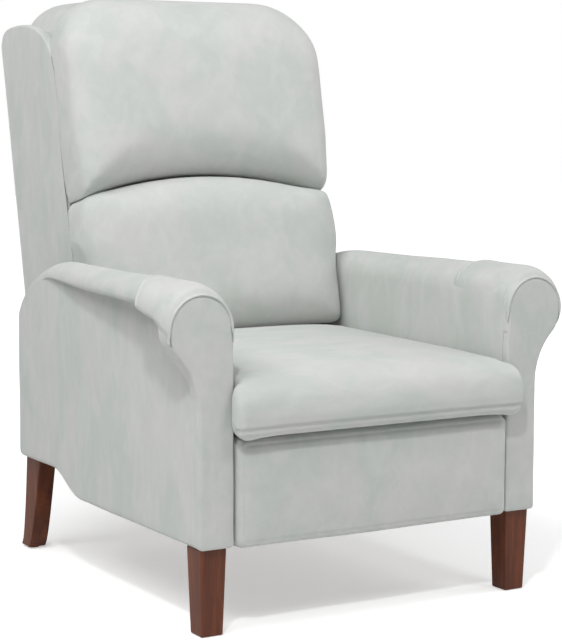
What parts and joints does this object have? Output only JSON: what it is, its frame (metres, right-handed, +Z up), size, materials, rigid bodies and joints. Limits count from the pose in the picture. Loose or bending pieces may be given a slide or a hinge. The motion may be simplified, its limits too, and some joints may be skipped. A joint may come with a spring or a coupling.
{
  "type": "wingback recliner",
  "caption": "Push-back wing recliner on high legs: scroll arms, arched back cushions, seat that slides forward and a footrest panel that swings out.",
  "frame": {"origin": "on the floor, under the middle of the overall box", "axes": "+Z up, the front faces -Y, +X to the right seen from the front"},
  "size_m": [0.776, 1.0052, 1.0448],
  "materials": {
    "upholstery": "brushed velvet pile",
    "foam_fill": "foam",
    "webbing": "woven elastic",
    "mahogany": "satin lacquer",
    "frame_timber": "planed",
    "mechanism_steel": "black enamel",
    "fastener_steel": "zinc plated",
    "glide_plastic": "matt"
  },
  "bodies": {
    "base": {"arm_frame_left": "frame_timber", "arm_frame_right": "frame_timber", "arm_cover_left": "upholstery", "arm_cover_right": "upholstery", "arm_cap_left": "upholstery", "arm_cap_right": "upholstery", "arm_facing_left": "upholstery", "arm_facing_right": "upholstery", "front_leg_left": "mahogany", "front_leg_right": "mahogany", "rear_leg_left": "mahogany", "rear_leg_right": "mahogany", "leg_bolts": "fastener_steel", "foot_glides": "glide_plastic", "front_cross_rail": "frame_timber", "rear_cross_rail": "frame_timber", "rear_rail_cover": "upholstery", "slide_channel_left": "fastener_steel", "slide_channel_right": "fastener_steel", "channel_screws": "fastener_steel"},
    "seat": {"seat_front_bar": "mechanism_steel", "seat_rail_rear": "frame_timber", "seat_rail_left": "frame_timber", "seat_rail_right": "frame_timber", "seat_webbing": "webbing", "seat_cushion": "upholstery", "slide_runners": "fastener_steel", "link_plate_left": "mechanism_steel", "link_plate_right": "mechanism_steel", "seat_link_pins": "fastener_steel", "hinge_bracket_left": "mechanism_steel", "hinge_bracket_right": "mechanism_steel", "hinge_bolts": "fastener_steel"},
    "back": {"back_post_left": "frame_timber", "back_post_right": "frame_timber", "back_top_rail": "frame_timber", "back_middle_rail": "frame_timber", "back_bottom_rail": "frame_timber", "back_webbing": "webbing", "back_fill": "foam_fill", "wing_left": "upholstery", "wing_right": "upholstery", "crown_roll": "upholstery", "head_cushion": "upholstery", "lumbar_cushion": "upholstery", "outside_back": "upholstery", "hinge_plates": "mechanism_steel"},
    "drive_links": {"drive_link_left": "mechanism_steel", "drive_link_right": "mechanism_steel", "drive_tube": "mechanism_steel", "drive_link_pins": "fastener_steel"},
    "guide_links": {"carrier_links": "mechanism_steel"},
    "carrier": {"carrier_plates": "mechanism_steel", "carrier_pins": "fastener_steel"},
    "tilt_links": {"tilt_links": "mechanism_steel"},
    "footrest": {"footrest_brackets": "mechanism_steel", "bracket_pins": "fastener_steel", "footrest_board": "frame_timber", "footrest_pad": "upholstery"}
  },
  "joints": [
    {"name": "seat_slide", "type": "slide", "parent": "base", "child": "seat", "axis": [0, -1, 0], "range_m": [0, 0.11]},
    {"name": "back_recline", "type": "hinge", "parent": "seat", "child": "back", "pos_m": [0, 0.1274, 0.33], "axis": [-1, 0, 0], "range_deg": [0, 25]},
    {"name": "drive_link_swing", "type": "hinge", "parent": "seat", "child": "drive_links", "pos_m": [0, -0.3826, 0.308], "axis": [-1, 0, 0], "range_deg": [0, 90]},
    {"name": "guide_link_swing", "type": "hinge", "parent": "seat", "child": "guide_links", "pos_m": [0, -0.3126, 0.308], "axis": [-1, 0, 0], "range_deg": [0, 90]},
    {"name": "carrier_pivot", "type": "hinge", "parent": "drive_links", "child": "carrier", "pos_m": [0, -0.2901, 0.14778], "axis": [1, 0, 0], "range_deg": [0, 90]},
    {"name": "tilt_link_pivot", "type": "hinge", "parent": "drive_links", "child": "tilt_links", "pos_m": [0, -0.28618, 0.19261], "axis": [1, 0, 0], "range_deg": [0, 90]},
    {"name": "footrest_tilt", "type": "hinge", "parent": "carrier", "child": "footrest", "pos_m": [0, -0.3996, 0.24], "axis": [-1, 0, 0], "range_deg": [0, 90]}
  ],
  "couplings": [
    {"joint": "back_recline", "follows": "seat_slide", "rad_per_m": 3.9666},
    {"joint": "drive_link_swing", "follows": "seat_slide", "rad_per_m": 14.28},
    {"joint": "guide_link_swing", "follows": "seat_slide", "rad_per_m": 14.28},
    {"joint": "carrier_pivot", "follows": "seat_slide", "rad_per_m": 14.28},
    {"joint": "tilt_link_pivot", "follows": "seat_slide", "rad_per_m": 14.28},
    {"joint": "footrest_tilt", "follows": "seat_slide", "rad_per_m": 14.28}
  ]
}
